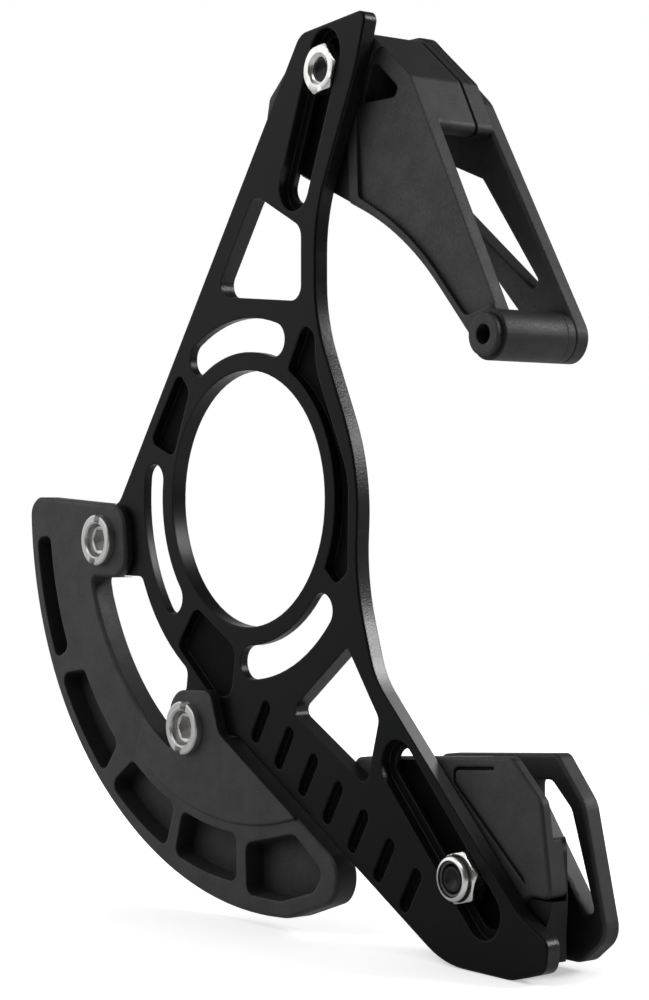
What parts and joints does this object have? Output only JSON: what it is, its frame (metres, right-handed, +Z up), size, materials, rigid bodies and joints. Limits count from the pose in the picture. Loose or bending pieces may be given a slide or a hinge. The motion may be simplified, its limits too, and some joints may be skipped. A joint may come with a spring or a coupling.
{
  "type": "bicycle chain guide",
  "caption": "Black bicycle chain guide: flat slotted back plate round the bottom bracket, sliding upper and lower chain guides and a curved pocketed bash guard.",
  "frame": {"origin": "centre of the bottom-bracket bore, on the frame side of the back plate", "axes": "+X to the rear of the bicycle, +Y outwards through the chainring, +Z up"},
  "size_m": [0.1502, 0.0287, 0.1588],
  "materials": {
    "black_anodised_plate": "matte black anodised, fine bead-blasted grain",
    "black_moulding": "glass-filled nylon, fine spark texture",
    "bright_steel": "bright zinc plated",
    "black_steel": "black oxide",
    "slider_rubber": "smooth dark elastomer",
    "nylon": "plain nylon",
    "brass": "knurled insert"
  },
  "bodies": {
    "plate": {"backplate": "black_anodised_plate", "bash_guard": "black_moulding", "guard_nut_upper": "bright_steel", "guard_nut_lower": "bright_steel", "guard_bolt_upper": "bright_steel", "guard_bolt_lower": "bright_steel"},
    "upper_guide": {"upper_guide_inner": "black_moulding", "upper_guide_outer": "black_moulding", "upper_guide_bolt": "black_steel", "upper_guide_washer": "black_steel", "upper_guide_nut": "bright_steel", "upper_cross_screw": "black_steel", "upper_cross_insert": "brass"},
    "lower_guide": {"lower_guide_inner": "black_moulding", "lower_guide_outer": "black_moulding", "chain_slider": "slider_rubber", "lower_guide_bolt": "black_steel", "lower_guide_washer": "black_steel", "lower_guide_nut": "bright_steel", "lower_nut_ring": "nylon", "lower_guide_screw": "black_steel", "lower_screw_insert": "brass"}
  },
  "joints": [
    {"name": "upper_guide_slide", "type": "slide", "parent": "plate", "child": "upper_guide", "axis": [0.3665, 0, 0.9304], "range_m": [-0.02, 0.0018]},
    {"name": "lower_guide_slide", "type": "slide", "parent": "plate", "child": "lower_guide", "axis": [-0.6947, 0, 0.7193], "range_m": [-0.0061, 0.0222]}
  ]
}
